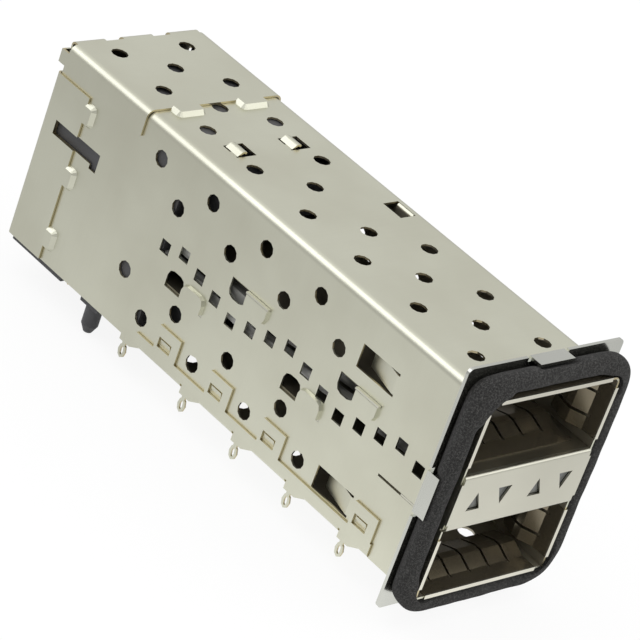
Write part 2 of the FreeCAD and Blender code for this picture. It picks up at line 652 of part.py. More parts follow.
def bent_rod(points):
    """Square rod along straight runs joined by tangent arcs, starting along Y."""
    edges = []
    start = points[0]
    for before, corner, after in zip(points, points[1:], points[2:]):
        back = (before - corner).normalize()
        ahead = (after - corner).normalize()
        half = back.getAngle(ahead) / 2
        reach = PIPE_BEND / math.tan(half)
        middle = corner + (back + ahead).normalize() * (PIPE_BEND / math.sin(half) - PIPE_BEND)
        edges.append(Part.makeLine(start, corner + back * reach))
        edges.append(Part.Arc(corner + back * reach, middle, corner + ahead * reach).toShape())
        start = corner + ahead * reach
    edges.append(Part.makeLine(start, points[-1]))
    half = PIPE_SIZE / 2
    low, high = points[0].z - half, points[0].z + half
    corners = [point + V(points[0].x, 0, 0) for point in rectangle(half, low, high, points[0].y)]
    section = Part.makePolygon(corners + corners[:1])
    return Part.Wire(edges).makePipeShell([section], True, False)


def light_pipe(x, way):
    """One light pipe: a triangular tip in its window, then a rod to the board at the rear."""
    outer = abs(x) == SIGN_SPREAD_OUTER
    lane_x = math.copysign(PIPE_LANE, x)
    lane_z = MIDDLE + (-PIPE_RISE if outer else PIPE_RISE)
    rear = CAGE_LENGTH - (PIPE_REAR_FAR if outer else PIPE_REAR_NEAR)
    rod = bent_rod([V(x, PIPE_TIP, MIDDLE), V(x, PIPE_STRAIGHT, MIDDLE), V(lane_x, PIPE_SLANT_END, lane_z),
                    V(lane_x, rear, lane_z), V(lane_x, rear, PIPE_FOOT)])
    tip = prism(triangle(x, way, PIPE_RECESS, 2 * FIT), V(0, PIPE_TIP - PIPE_RECESS, 0))
    return tip.fuse(rod)


def flange_tabs(room, beyond):
    """Tabs of the flange that hold the gasket, grown by some room and drawn out beyond the flange."""
    half = HALF + FLANGE_MARGIN_X
    low, high = BOARD_GAP - FLANGE_MARGIN_Z, TOP + FLANGE_MARGIN_Z
    front, rear = FLANGE_SETBACK - FLANGE_TAB_LENGTH - room, FLANGE_SETBACK + FLANGE_THICKNESS
    reach = FLANGE_TAB_WIDTH / 2 + room
    deep = FLANGE_THICKNESS + room
    side = block(-half - beyond, -half + deep, front, rear, MIDDLE - reach, MIDDLE + reach)
    return [block(-reach, reach, front, rear, high - deep, high + beyond),
            block(-reach, reach, front, rear, low - beyond, low + deep)] + both_sides([side])


def front_flange():
    """Plate round the mouth, with tabs bent forward to hold the gasket."""
    half = HALF + FLANGE_MARGIN_X
    low, high = BOARD_GAP - FLANGE_MARGIN_Z, TOP + FLANGE_MARGIN_Z
    front, rear = FLANGE_SETBACK - OVER, FLANGE_SETBACK + FLANGE_THICKNESS + OVER
    depth = V(0, FLANGE_THICKNESS, 0)
    body = plate(rectangle(half, low, high, FLANGE_SETBACK), [FLANGE_CORNER] * 4, depth)
    hole = rectangle(HALF + FIT, BOARD_GAP - FIT, TOP + FIT, front)
    cuts = [plate(hole, (0, 0, BEND + SHEET, BEND + SHEET), V(0, rear - front, 0))]
    near, far = FLANGE_TAB_WIDTH / 2, FLANGE_TAB_WIDTH / 2 + FLANGE_NOTCH
    for a, b in ((near, far), (-far, -near)):
        cuts.append(block(a, b, front, rear, high - FLANGE_NOTCH, high + OVER))
        cuts.append(block(a, b, front, rear, low - OVER, low + FLANGE_NOTCH))
        cuts += both_sides([block(-half - OVER, -half + FLANGE_NOTCH, front, rear, MIDDLE + a, MIDDLE + b)])
    return body.cut(cuts).fuse(flange_tabs(0, 0))


def gasket():
    """Soft ring in front of the flange, bevelled towards the panel it seals against."""
    half = HALF + GASKET_MARGIN_X
    depth = V(0, FLANGE_SETBACK - GASKET_FRONT, 0)
    outer = rectangle(half, BOARD_GAP - GASKET_MARGIN_Z, TOP + GASKET_MARGIN_Z, GASKET_FRONT)
    ring = plate(outer, [GASKET_CORNER] * 4, depth)
    rims = [edge for edge in ring.Edges if edge.BoundBox.YMax < GASKET_FRONT + FIT]
    ring = ring.makeChamfer(GASKET_BEVEL, rims)
    gap = GASKET_INNER_GAP
    inner = rectangle(HALF + gap, BOARD_GAP - gap, TOP + gap, GASKET_FRONT)
    return ring.cut([plate(inner, [GASKET_INNER_CORNER] * 4, depth)] + flange_tabs(FIT, OVER))


def spring(width, slits, wraps):
    """Spring strip on a sheet whose inner face looks up, fingers arched into the port."""
    edge = -width / 2
    seat = SHEET + FIT
    root, hump = (SPRING_ROOT, SPRING_HUMP) if wraps else (SEPARATOR_ROOT, SEPARATOR_HUMP)
    crest = root + SPRING_RISE
    tip = crest + SPRING_FALL
    path = [V(edge, root, seat), V(edge, crest - SPRING_TOP / 2, seat + hump),
            V(edge, crest + SPRING_TOP / 2, seat + hump), V(edge, tip, seat + SPRING)]
    if wraps:
        path = [V(edge, SPRING_LEAF, -FIT), V(edge, -FIT, -FIT), V(edge, -FIT, seat)] + path
    else:
        path = [V(edge, SPRING_START, seat)] + path
    strip = folded(path, [0] * (len(path) - 2), SPRING, V(width, 0, 0))
    cuts = []
    for k in range(slits):
        x = (k - (slits - 1) / 2) * FINGER_PITCH - SPRING_SLIT / 2
        cuts.append(block(x, x + SPRING_SLIT, root - SPRING_SLIT, tip + OVER, 0, SHEET + hump + OVER))
    return strip.cut(cuts)


def turned(shape, degrees, x, z):
    """A strip turned about the Y axis and set against one wall."""
    copy = shape.copy()
    copy.rotate(V(0, 0, 0), V(0, 1, 0), degrees)
    copy.translate(V(x, 0, z))
    return copy


def springs():
    """Spring strips on the four sides of each port, by name."""
    across = 2 * (WALL_IN - SPRING_MARGIN)
    wide, inner = spring(across, ACROSS_SLIT_COUNT, True), spring(across, ACROSS_SLIT_COUNT, False)
    strips = {
        "lower_floor_spring": turned(wide, 0, 0, BOARD_GAP),
        "lower_roof_spring": turned(inner, 180, 0, SEP_LOW + SHEET),
        "upper_floor_spring": turned(inner, 0, 0, SEP_HIGH - SHEET),
        "upper_roof_spring": turned(wide, 180, 0, TOP),
    }
    for port, (floor, height) in zip(("lower", "upper"), PORTS):
        tall = spring(height - 2 * SPRING_MARGIN, UP_SLIT_COUNT, True)
        strips[port + "_left_spring"] = turned(tall, 90, -HALF, floor + height / 2)
        strips[port + "_right_spring"] = turned(tall, -90, HALF, floor + height / 2)
    return strips


def contact_places():
    """Middle of each contact across the port."""
    return [(k - (CONTACT_COUNT - 1) / 2) * CONTACT_PITCH for k in range(CONTACT_COUNT)]


def contact_rows():
    """Name, card height, card side and leg position of each contact row, front row first."""
    rows = []
    for port, (floor, height) in zip(("lower", "upper"), PORTS):
        rows += [(port + "_port_lower_contacts", floor + height / 2, -1),
                 (port + "_port_upper_contacts", floor + height / 2, 1)]
    first = LEGS_FRONT + CONTACT_FIT
    return [(name, middle, side, first + k * LEG_PITCH) for k, (name, middle, side) in enumerate(rows)]


def contact_row(middle, side, leg):
    """One row of contacts: sprung beams beside the card, then legs down to the board."""
    near = middle + side * BEAM_LIFT
    far = near + side * CONTACT_THICK
    dip = middle + side * BEAM_DIP
    tip = NOSE_FRONT + BEAM_START
    level = tip + BEAM_RAMP
    front, rear = leg, leg + CONTACT_THICK
    inside, outside = (front, rear) if side > 0 else (rear, front)
    profile = [(tip, dip), (level, near), (inside, near), (inside, -CONTACT_TAIL),
               (outside, -CONTACT_TAIL), (outside, far), (level, far)]
    contacts = []
    for x in contact_places():
        points = [V(x - CONTACT_WIDTH / 2, y, z) for y, z in profile]
        contacts.append(prism(points, V(CONTACT_WIDTH, 0, 0)))
    return Part.makeCompound(contacts)


def contact_block():
    """Moulded body with a card nose in each port, room for the contacts, and board pegs."""
    half = HOUSING_HALF
    roof = TOP_IN - MOULD_FIT
    body = plate(rectangle(half, 0, roof, HOUSING_FRONT), (0, 0, BEND, BEND), V(0, HOUSING_DEPTH, 0))
    cheek = block(-half, -half + CHEEK, HOUSING_BACK - FOLD, CAGE_LENGTH - CHEEK_REAR, 0, roof - BEND)
    parts = both_sides([cheek])
    side = contact_places()[-1] + CONTACT_WIDTH / 2 + CONTACT_FIT
    reach = BEAM_LIFT + CONTACT_THICK + CONTACT_FIT
    cuts = []
    for floor, height in PORTS:
        middle = floor + height / 2
        nose = block(-NOSE_WIDTH / 2, NOSE_WIDTH / 2, NOSE_FRONT, HOUSING_FRONT + FOLD,
                     middle - NOSE_HEIGHT / 2, middle + NOSE_HEIGHT / 2)
        rims = [edge for edge in nose.Edges if edge.BoundBox.YMax < NOSE_FRONT + FIT]
        parts.append(nose.makeChamfer(NOSE_BEVEL, rims))
        cuts.append(block(-CARD_WIDTH / 2, CARD_WIDTH / 2, NOSE_FRONT - OVER, NOSE_FRONT + CARD_DEPTH,
                          middle - CARD_HEIGHT / 2, middle + CARD_HEIGHT / 2))
        cuts.append(block(-side, side, NOSE_FRONT + BEAM_START - CONTACT_FIT, LEGS_FRONT + FOLD,
                          middle - reach, middle + reach))
    cuts.append(block(-side, side, LEGS_FRONT, HOUSING_BACK + OVER, -OVER, middle + reach))
    cuts.append(block(-half - OVER, half + OVER, HOUSING_FRONT - OVER, FOOT_FRONT, -OVER, FOOT_STEP))
    lane = PIPE_SIZE / 2 + PIPE_FIT
    lanes = [block(-PIPE_LANE - lane, -PIPE_LANE + lane, HOUSING_FRONT - OVER, HOUSING_BACK + OVER,
                   level - lane, level + lane) for level in (MIDDLE - PIPE_RISE, MIDDLE + PIPE_RISE)]
    peg_y = CAGE_LENGTH - PEG_STATION
    end = V(PEG_INSET - HALF, peg_y, PEG_TIP - PEG_LENGTH)
    pegs = [block(-half, end.x + PEG_RADIUS + FOLD, peg_y - PAD_LENGTH / 2, peg_y + PAD_LENGTH / 2,
                  0, FOOT_STEP + FOLD),
            Part.makeCylinder(PEG_RADIUS, FOLD - end.z, end),
            Part.makeCone(PEG_RADIUS, PEG_TIP_RADIUS, PEG_TIP, end, V(0, 0, -1))]
    return body.fuse(parts).cut(cuts + both_sides(lanes)).fuse(both_sides(pegs))


def export(name, shape):
    """Writes one piece to its own file, measured from the foot on the board."""
    piece = shape.removeSplitter()
    piece.translate(V(0, -DATUM, 0))
    piece.exportStep("parts/%s.step" % name)


os.makedirs("parts", exist_ok=True)
export("cage_shell", cage_shell())
export("rear_cover", rear_cover())
export("floor_plate", floor_plate())
export("port_separator", port_separator())
export("front_flange", front_flange())
export("gasket", gasket())
export("contact_block", contact_block())
for strip_name, strip_shape in springs().items():
    export(strip_name, strip_shape)
for row_name, card_middle, card_side, leg_front in contact_rows():
    export(row_name, contact_row(card_middle, card_side, leg_front))
for number, (sign_x, sign_way) in enumerate(signs(), 1):
    export("light_pipe_%d" % number, light_pipe(sign_x, sign_way))
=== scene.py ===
"""Looks of the stacked connector: plated sheet, foam gasket, moulded contact block and clear light pipes.

Every length is in metres, in the part's own frame: X across, Y from the mouth to the rear, Z up.
"""
import json
import math

import bpy
import numpy as np
from mathutils import Matrix, Vector


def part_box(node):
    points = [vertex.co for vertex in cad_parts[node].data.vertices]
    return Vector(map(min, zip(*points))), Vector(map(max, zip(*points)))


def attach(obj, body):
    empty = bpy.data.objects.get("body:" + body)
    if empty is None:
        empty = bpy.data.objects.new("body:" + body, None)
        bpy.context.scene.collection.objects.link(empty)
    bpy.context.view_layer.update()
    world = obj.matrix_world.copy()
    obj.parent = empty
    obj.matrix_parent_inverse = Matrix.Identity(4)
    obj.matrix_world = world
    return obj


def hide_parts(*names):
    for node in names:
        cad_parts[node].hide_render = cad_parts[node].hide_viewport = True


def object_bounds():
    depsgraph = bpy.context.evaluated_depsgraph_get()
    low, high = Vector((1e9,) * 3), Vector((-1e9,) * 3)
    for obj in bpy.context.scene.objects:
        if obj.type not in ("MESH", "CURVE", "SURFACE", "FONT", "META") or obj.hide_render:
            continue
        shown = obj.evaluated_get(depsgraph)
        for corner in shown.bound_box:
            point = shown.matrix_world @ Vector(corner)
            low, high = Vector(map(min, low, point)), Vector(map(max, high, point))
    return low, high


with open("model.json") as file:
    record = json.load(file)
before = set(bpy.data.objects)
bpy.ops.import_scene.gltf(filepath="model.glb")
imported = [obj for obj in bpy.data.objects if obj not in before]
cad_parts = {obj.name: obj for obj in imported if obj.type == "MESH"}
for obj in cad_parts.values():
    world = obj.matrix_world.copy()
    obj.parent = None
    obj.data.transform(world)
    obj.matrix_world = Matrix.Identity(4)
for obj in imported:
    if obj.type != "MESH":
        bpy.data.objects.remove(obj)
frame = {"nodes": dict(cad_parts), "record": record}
cad_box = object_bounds()
shell_low, shell_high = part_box("cage_shell")

MM = 0.001

# Camera of the photograph
CAMERA_PLACE = Vector((-275.44, -251.90, 201.96)) * MM
CAMERA_AZIMUTH = 51.30        # degrees from +Y towards +X
CAMERA_ELEVATION = -28.13
CAMERA_ROLL = 20.19
CAMERA_LENS = 199.97          # millimetres
CAMERA_SENSOR = 36            # millimetres
CAMERA_CLIP = 0.01

# Cage skin, by which the painted shade and the bare edges tell its inside from its outside
POCKET_RISE = 0.56 * MM       # raised pockets, the shell's outermost places
CAGE_HALF = shell_high[0] - POCKET_RISE
CAGE_TOP = shell_high[2] - POCKET_RISE
CAGE_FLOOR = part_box("floor_plate")[0][2]
CAGE_MIDDLE = (CAGE_TOP + CAGE_FLOOR) / 2
MOUTH = shell_low[1]
SHEET = 0.25 * MM
INSIDE_DEPTHS = (0.4 * SHEET, 0.8 * SHEET)    # under the skin, where the inside's painted shade fades in
INWARD_LEAST = 2 * MM         # offset from the middle line along the normal, for a face that looks in
INSIDE_DULLNESS = 0.25        # how far the plating inside loses its metal look
EDGE_DEPTH = 1.1 * SHEET      # under the skin, as far as cut edges reach
EDGE_TILT = 0.35              # most that a cut edge's normal leans out of the sheet
TONGUE_BAND = (8 * MM, 17.5 * MM)     # depth below the top of the walls' formed tongues
TONGUE_REAR = -12 * MM        # rear end of that band
PORT_FADE = 0.35 * MM         # length over which painted shade darkens the plating inside the ports
SEPARATOR_START = MOUTH + 0.1 * MM    # where the separator's painted shade begins
SPRING_START = MOUTH - 0.18 * MM      # the same for the spring strips, in their folds
GUIDE_TIP = (MOUTH + 2 * MM, MOUTH + 4 * MM)  # where the light pipes turn from tips darkened with painted shade to pale runs

# Plated sheets: bright colour, dull colour, roughness and strength of the rolling lines
CAGE_PLATE = ((0.635, 0.635, 0.525, 1), (0.58, 0.575, 0.47, 1), 0.36, 0.25)
SEPARATOR_PLATE = ((0.60, 0.59, 0.50, 1), (0.55, 0.54, 0.455, 1), 0.32, 0.2)
FLANGE_PLATE = ((0.55, 0.555, 0.51, 1), (0.50, 0.505, 0.465, 1), 0.2, 0.2)
SPRING_PLATE = ((0.72, 0.70, 0.60, 1), (0.62, 0.60, 0.51, 1), 0.2, 0.2)
CONTACT_PLATE = ((0.75, 0.56, 0.26, 1), (0.62, 0.45, 0.2, 1), 0.25, 0.2)

# Other colours, as a dark and a pale one where two are mixed
CAGE_PAINTED_SHADE = (0.36, 0.33, 0.255, 1)    # painted shade on the plating inside the cage
# painted shade of the separator and the spring strips deep in the ports
SEPARATOR_PAINTED_SHADE = (0.16, 0.145, 0.105, 1)
SPRING_PAINTED_SHADE = (0.20, 0.172, 0.12, 1)
BARE_EDGE = (0.52, 0.455, 0.29, 1)
FOAM_COLOURS = ((0.018, 0.0176, 0.017, 1), (0.082, 0.0805, 0.077, 1))
MOULDING_COLOURS = ((0.040, 0.040, 0.042, 1), (0.075, 0.075, 0.078, 1))
GUIDE_RUN_COLOURS = ((0.30, 0.30, 0.28, 1), (0.80, 0.80, 0.76, 1))
# painted shade of the light pipes' tips in their windows
GUIDE_TIP_SHADE_COLOURS = ((0.055, 0.058, 0.055, 1), (0.17, 0.175, 0.165, 1))
FLOOR_COLOUR = (0.92, 0.92, 0.92, 1)
WHITE = (1, 1, 1, 1)

# Light
DIFFUSE_LEVELS = (0.06, 1.2)  # light from the horizon and from overhead
MIRROR_LEVELS = (0.50, 1.0)   # the same in reflections
FLOOR_MIRROR_LEVELS = (1.28, 0.62)    # the floor in reflections, near and far
BRIGHT_PATCH = (-15 * MM, -70 * MM)   # brightest place of the floor in reflections
PATCH_REACH = 150 * MM
KEY_DIRECTION = Vector((-0.47, 0.55, 0.69))
KEY_DISTANCE = 0.45
KEY_SIZE = 0.34
KEY_POWER = 0.49
KEY_COLOUR = (0.92, 0.93, 1.0)
FILL_DIRECTION = Vector((0.45, -0.7, 0.55))
FILL_DISTANCE = 0.6
FILL_SIZE = 0.5
FILL_POWER = 0.8
FLOOR_SIZE = 3.0
FLOOR_DROP = 0.2 * MM         # floor below the lowest point
FLOOR_GLOW = 0.9              # share of plain white in the floor as the camera sees it

# Foam gasket; distances out of the cage's skin, and depths behind the mouth
FOAM_AROUND = 640             # points round the ring
FOAM_SECTION = 64             # points round the section
FOAM_SQUARENESS = 2.4         # exponent of the section's superellipse
FOAM_INNER = 0.45 * MM
FOAM_OUTER = 2.35 * MM
FOAM_OUTER_EXTRA = 0.4 * MM   # more at the top
FOAM_OUTER_ROUND = 4.8 * MM
FOAM_FRONT = -0.12 * MM
FOAM_MIDDLE = 0.95 * MM       # depth of the section's widest place
FOAM_REAR = 2.8 * MM
FOAM_SEAT_ROUND = 1.6 * MM    # inner corners behind the mouth's plane
FOAM_LIP_ROUND = 5.0 * MM     # inner corners of the lip in front of the mouth
FOAM_LIP = 0.4 * MM           # how far the lip bulges forward in the corners
FOAM_LIP_DEPTH = 0.36 * MM
FOAM_LIP_TURN = 0.75 * math.pi        # upper left corner, where the lip sags in most
FOAM_LIP_SHARE = 0.45         # of that sag on the far side
FOAM_FOOT = (0.12 * MM, 1.5 * MM)     # inner and outer edge on the flange
FOAM_FOOT_ROUND = (1.15 * MM, 2.4 * MM)
FOAM_FOOT_EXTRA = 0.45 * MM   # more at the top
FOAM_FOOT_TIGHT = 1.1 * MM    # outer edge under the flange's tabs
FOAM_PINCH = 0.7 * MM         # how far the flange's tabs press the foam in
FOAM_PINCH_HALF = 2.7 * MM
FOAM_PINCH_FADE = 0.7 * MM
FOAM_PINCH_RAMP = (-0.4, 0.1)         # where along the section's depth the tabs begin to press
FOAM_BULGE_END = 0.3          # how far across the section the lip's bulge reaches
FOAM_CORNER_GAIN = 3          # how soon a corner counts as one
FOAM_DRAW = 1.5               # power of the draw to the foot
FOAM_LUMPS = 0.035 * MM
FOAM_WAVES = ((7, 1.0, 0.4), (13, 0.7, 2.1), (29, 0.5, 0.0))  # count, strength and phase of the lumps


def add(tree, kind, settings=None, **inputs):
    """Adds a node; inputs are values or output sockets, with _ for a space in a socket's name."""
    node = tree.nodes.new(kind)
    for name, value in (settings or {}).items():
        setattr(node, name, value)
    for name, value in inputs.items():
        socket = node.inputs[name.replace("_", " ")]
        if isinstance(value, bpy.types.NodeSocket):
            tree.links.new(value, socket)
        else:
            socket.default_value = value
    return node


def maths(tree, operation, first, second):
    """One sum, product or other operation on two values or sockets."""
    node = tree.nodes.new("ShaderNodeMath")
    node.operation = operation
    for socket, value in zip(node.inputs, (first, second)):
        if isinstance(value, bpy.types.NodeSocket):
            tree.links.new(value, socket)
        else:
            socket.default_value = value
    return node.outputs[0]


def mixed(tree, share, first, second):
    """Colour between two colours by a share from 0 to 1."""
    node = tree.nodes.new("ShaderNodeMix")
    node.data_type = "RGBA"
    for index, value in ((0, share), (6, first), (7, second)):
        if isinstance(value, bpy.types.NodeSocket):
            tree.links.new(value, node.inputs[index])
        else:
            node.inputs[index].default_value = value
    return node.outputs[2]


def noise(tree, scale, detail, stretch=(1, 1, 1)):
    """Noise on Object coordinates: the scale counts waves in a metre, times the stretch along each axis."""
    place = add(tree, "ShaderNodeTexCoord").outputs["Object"]
    scaled = add(tree, "ShaderNodeMapping", Vector=place, Scale=stretch).outputs[0]
    return add(tree, "ShaderNodeTexNoise", Vector=scaled, Scale=scale, Detail=detail).outputs["Fac"]


def new_group(name, inputs, outputs):
    """Empty shader node group with named sockets."""
    group = bpy.data.node_groups.new(name, "ShaderNodeTree")
    for socket, kind, value in inputs:
        group.interface.new_socket(socket, in_out="INPUT", socket_type=kind).default_value = value
    for socket, kind in outputs:
        group.interface.new_socket(socket, in_out="OUTPUT", socket_type=kind)
    return group, group.nodes.new("NodeGroupInput").outputs, group.nodes.new("NodeGroupOutput").inputs


def ramp(tree, value, low, high, first=0.0, last=1.0):
    """Smooth step of a value between two limits, from the first level to the last."""
    node = add(tree, "ShaderNodeMapRange", {"interpolation_type": "SMOOTHSTEP"}, Value=value,
               From_Min=low, From_Max=high, To_Min=first, To_Max=last)
    return node.outputs["Result"]


def plated_sheet_group():
    """Rolled and plated sheet: faint lines across the length, soft clouds and fine specks."""
    group, given, result = new_group(
        "plated_sheet",
        [("Bright", "NodeSocketColor", (0.5, 0.5, 0.4, 1)), ("Dull", "NodeSocketColor", (0.4, 0.4, 0.3, 1)),
         ("Roughness", "NodeSocketFloat", 0.3), ("Lines", "NodeSocketFloat", 0.1)],
        [("Color", "NodeSocketColor"), ("Roughness", "NodeSocketFloat"), ("Height", "NodeSocketFloat")])
    lines = noise(group, 5200, 2, (0.02, 1, 0.02))
    clouds = noise(group, 70, 3)
    specks = noise(group, 2600, 2)
    lined = maths(group, "MULTIPLY", maths(group, "SUBTRACT", lines, 0.5), given["Lines"])
    share = maths(group, "ADD", ramp(group, clouds, 0.3, 0.7), lined)
    group.links.new(mixed(group, share, given["Bright"], given["Dull"]), result["Color"])
    rough = maths(group, "MULTIPLY", maths(group, "SUBTRACT", clouds, 0.5), 0.1)
    rough = maths(group, "ADD", rough, maths(group, "MULTIPLY", lined, 0.15))
    group.links.new(maths(group, "ADD", rough, given["Roughness"]), result["Roughness"])
    ridges = maths(group, "MULTIPLY", lines, 0.6)
    height = maths(group, "ADD", ridges, maths(group, "MULTIPLY", specks, 0.4))
    group.links.new(height, result["Height"])
    return group


def object_axes(tree):
    """X, Y and Z of the Object coordinates."""
    place = add(tree, "ShaderNodeTexCoord").outputs["Object"]
    return add(tree, "ShaderNodeSeparateXYZ", Vector=place).outputs


def side_depth(tree, axes):
    """Depth under the skin of the nearer side wall."""
    return maths(tree, "SUBTRACT", CAGE_HALF, maths(tree, "ABSOLUTE", axes["X"], 0.0))


def top_depth(tree, axes):
    """Depth under the skin of the top."""
    return maths(tree, "SUBTRACT", CAGE_TOP, axes["Z"])


def sheared_edge_group():
    """1 on the cut edges of the walls and the top: no deeper than the sheet, and square to its skin.

    The band of formed tongues half way up the walls is left out.
    """
    group, _, result = new_group("sheared_edge", [], [("Mask", "NodeSocketFloat")])
    axes = object_axes(group)
    from_side, from_top = side_depth(group, axes), top_depth(group, axes)
    normal = add(group, "ShaderNodeNewGeometry").outputs["Normal"]
    lean = add(group, "ShaderNodeSeparateXYZ", Vector=normal).outputs
    masks = []
    for depth, tilt in ((from_side, lean["X"]), (from_top, lean["Z"])):
        within = maths(group, "LESS_THAN", depth, EDGE_DEPTH)
        square = maths(group, "LESS_THAN", maths(group, "ABSOLUTE", tilt, 0.0), EDGE_TILT)
        masks.append(maths(group, "MULTIPLY", within, square))
    above = maths(group, "LESS_THAN", from_top, TONGUE_BAND[0])
    below = maths(group, "GREATER_THAN", from_top, TONGUE_BAND[1])
    behind = maths(group, "GREATER_THAN", axes["Y"], TONGUE_REAR)
    clear = maths(group, "MAXIMUM", maths(group, "MAXIMUM", above, below), behind)
    group.links.new(maths(group, "MULTIPLY", maths(group, "MAXIMUM", *masks), clear), result["Mask"])
    return group


def cage_inside_group():
    """Painted shade mask: 1 on faces that look into the cage from its walls, floor and top, and 0 on its
    outer skin.

    Such a face lies deeper than half the sheet, and its normal points to the cage's middle line.
    """
    group, _, result = new_group("cage_inside", [], [("Mask", "NodeSocketFloat")])
    axes = object_axes(group)
    depth = maths(group, "MINIMUM", side_depth(group, axes), top_depth(group, axes))
    deep = ramp(group, depth, *INSIDE_DEPTHS)
    rise = maths(group, "SUBTRACT", axes["Z"], CAGE_MIDDLE)
    outward = add(group, "ShaderNodeCombineXYZ", X=axes["X"], Z=rise).outputs[0]
    facing = add(group, "ShaderNodeVectorMath", {"operation": "DOT_PRODUCT"})
    group.links.new(outward, facing.inputs[0])
    group.links.new(add(group, "ShaderNodeNewGeometry").outputs["Normal"], facing.inputs[1])
    inward = maths(group, "LESS_THAN", facing.outputs["Value"], -INWARD_LEAST)
    group.links.new(maths(group, "MULTIPLY", deep, inward), result["Mask"])
    return group


def port_depth_group():
    """Painted shade mask: 0 in front of the start and outside the walls, rising to 1 a little way inside
    the ports.
    """
    group, given, result = new_group("port_depth", [("Start", "NodeSocketFloat", MOUTH)],
                                     [("Mask", "NodeSocketFloat")])
    axes = object_axes(group)
    behind = ramp(group, maths(group, "SUBTRACT", axes["Y"], given["Start"]), 0.0, PORT_FADE)
    between = ramp(group, side_depth(group, axes), 0.0, SHEET)
    group.links.new(maths(group, "MULTIPLY", behind, between), result["Mask"])
    return group


def blank_material(name):
    """Node material with an empty Principled BSDF."""
    material = bpy.data.materials.new(name)
    material.use_nodes = True
    tree = material.node_tree
    return material, tree, tree.nodes["Principled BSDF"]


def sheet_material(name, plate_group, plate, shade_group=None, deep=WHITE, edge_group=None, **shade_inputs):
    """Plated sheet with its own colours.

    A shade mask paints shade with the deep colour inside the cage and the ports; an edge mask bares the
    metal on cut edges.
    """
    material, tree, surface = blank_material(name)
    bright, dull, roughness, lines = plate
    coat = add(tree, "ShaderNodeGroup", {"node_tree": plate_group},
               Bright=bright, Dull=dull, Roughness=roughness, Lines=lines).outputs
    colour = coat["Color"]
    if edge_group:
        edge = add(tree, "ShaderNodeGroup", {"node_tree": edge_group}).outputs["Mask"]
        colour = mixed(tree, edge, colour, BARE_EDGE)
    # painted shade: the deep colour and a duller metal stand in for the dim light inside
    if shade_group:
        shade = add(tree, "ShaderNodeGroup", {"node_tree": shade_group}, **shade_inputs).outputs["Mask"]
        colour = mixed(tree, shade, colour, deep)
        dulled = maths(tree, "MULTIPLY", shade, INSIDE_DULLNESS)
        tree.links.new(maths(tree, "SUBTRACT", 1.0, dulled), surface.inputs["Metallic"])
    else:
        surface.inputs["Metallic"].default_value = 1
    relief = add(tree, "ShaderNodeBump", Strength=0.05, Distance=0.01 * MM, Height=coat["Height"])
    tree.links.new(colour, surface.inputs["Base Color"])
    tree.links.new(coat["Roughness"], surface.inputs["Roughness"])
    tree.links.new(relief.outputs[0], surface.inputs["Normal"])
    return material


def foam_material():
    """Dark open-cell foam: fine fibrous grain in colour and relief, no gloss."""
    material, tree, surface = blank_material("gasket_foam")
    patches = noise(tree, 300, 2)
    fibres = noise(tree, 4600, 3)
    fine = noise(tree, 9000, 2)
    grain = maths(tree, "ADD", maths(tree, "MULTIPLY", fibres, 0.5), maths(tree, "MULTIPLY", fine, 0.5))
    spotted = ramp(tree, grain, 0.42, 0.68, 0.0, 0.8)
    share = maths(tree, "ADD", spotted, maths(tree, "MULTIPLY", patches, 0.2))
    colour = mixed(tree, share, *FOAM_COLOURS)
    relief = add(tree, "ShaderNodeBump", Strength=0.4, Distance=0.06 * MM, Height=grain)
    surface.inputs["Roughness"].default_value = 0.95
    surface.inputs["Specular IOR Level"].default_value = 0.2
    tree.links.new(colour, surface.inputs["Base Color"])
    tree.links.new(relief.outputs[0], surface.inputs["Normal"])
    return material


def moulding_material():
    """Black glass-filled moulding: matt, with a fine spark-eroded grain."""
    material, tree, surface = blank_material("black_moulding")
    grain = noise(tree, 3800, 3)
    clouds = noise(tree, 180, 2)
    colour = mixed(tree, clouds, *MOULDING_COLOURS)
    relief = add(tree, "ShaderNodeBump", Strength=0.35, Distance=0.04 * MM, Height=grain)
    rough = maths(tree, "ADD", maths(tree, "MULTIPLY", grain, 0.25), 0.42)
    tree.links.new(colour, surface.inputs["Base Color"])
    tree.links.new(rough, surface.inputs["Roughness"])
    tree.links.new(relief.outputs[0], surface.inputs["Normal"])
    return material


def light_guide_material():
    """Clear plastic: frosted and pale along its run; dark grey at the tips behind the signs, as painted
    shade.
    """
    material, tree, surface = blank_material("light_guide")
    frost = noise(tree, 900, 3)
    streaks = noise(tree, 700, 2, (1, 0.35, 1))
    run = mixed(tree, ramp(tree, streaks, 0.35, 0.65), *GUIDE_RUN_COLOURS)
    # painted shade: the tips are dark grey, as if shaded in their windows
    tip = mixed(tree, frost, *GUIDE_TIP_SHADE_COLOURS)
    behind = ramp(tree, object_axes(tree)["Y"], *GUIDE_TIP)
    rough = maths(tree, "ADD", maths(tree, "MULTIPLY", frost, 0.2), 0.12)
    surface.inputs["IOR"].default_value = 1.5
    tree.links.new(mixed(tree, behind, tip, run), surface.inputs["Base Color"])
    tree.links.new(rough, surface.inputs["Roughness"])
    return material


def smooth(share):
    """Smooth step from 0 to 1, 3t^2 - 2t^3."""
    t = np.clip(share, 0, 1)
    return t * t * (3 - 2 * t)


def rounded_ring(half_x, half_z, corner, turns):
    """Points of a rounded rectangle where rays at the given angles leave it.

    A ray from the middle first meets the box; inside a corner square it meets the corner's
    circle instead, at the far root of |t * ray - corner centre| = corner radius.
    """
    ray = np.stack([np.cos(turns) * half_x, np.sin(turns) * half_z], axis=1)
    reach = 1 / np.maximum(np.abs(ray[:, 0]) / half_x, np.abs(ray[:, 1]) / half_z)
    points = ray * reach[:, None]
    centre = np.array([half_x - corner, half_z - corner])
    in_corner = np.all(np.abs(points) > centre, axis=1)
    way = np.abs(ray)
    a = (way ** 2).sum(1)
    b = way @ centre
    root = np.sqrt(np.maximum(b * b - a * (centre @ centre - corner ** 2), 0))
    rounded = ray * ((b + root) / a)[:, None]
    return np.where(in_corner[:, None], rounded, points)


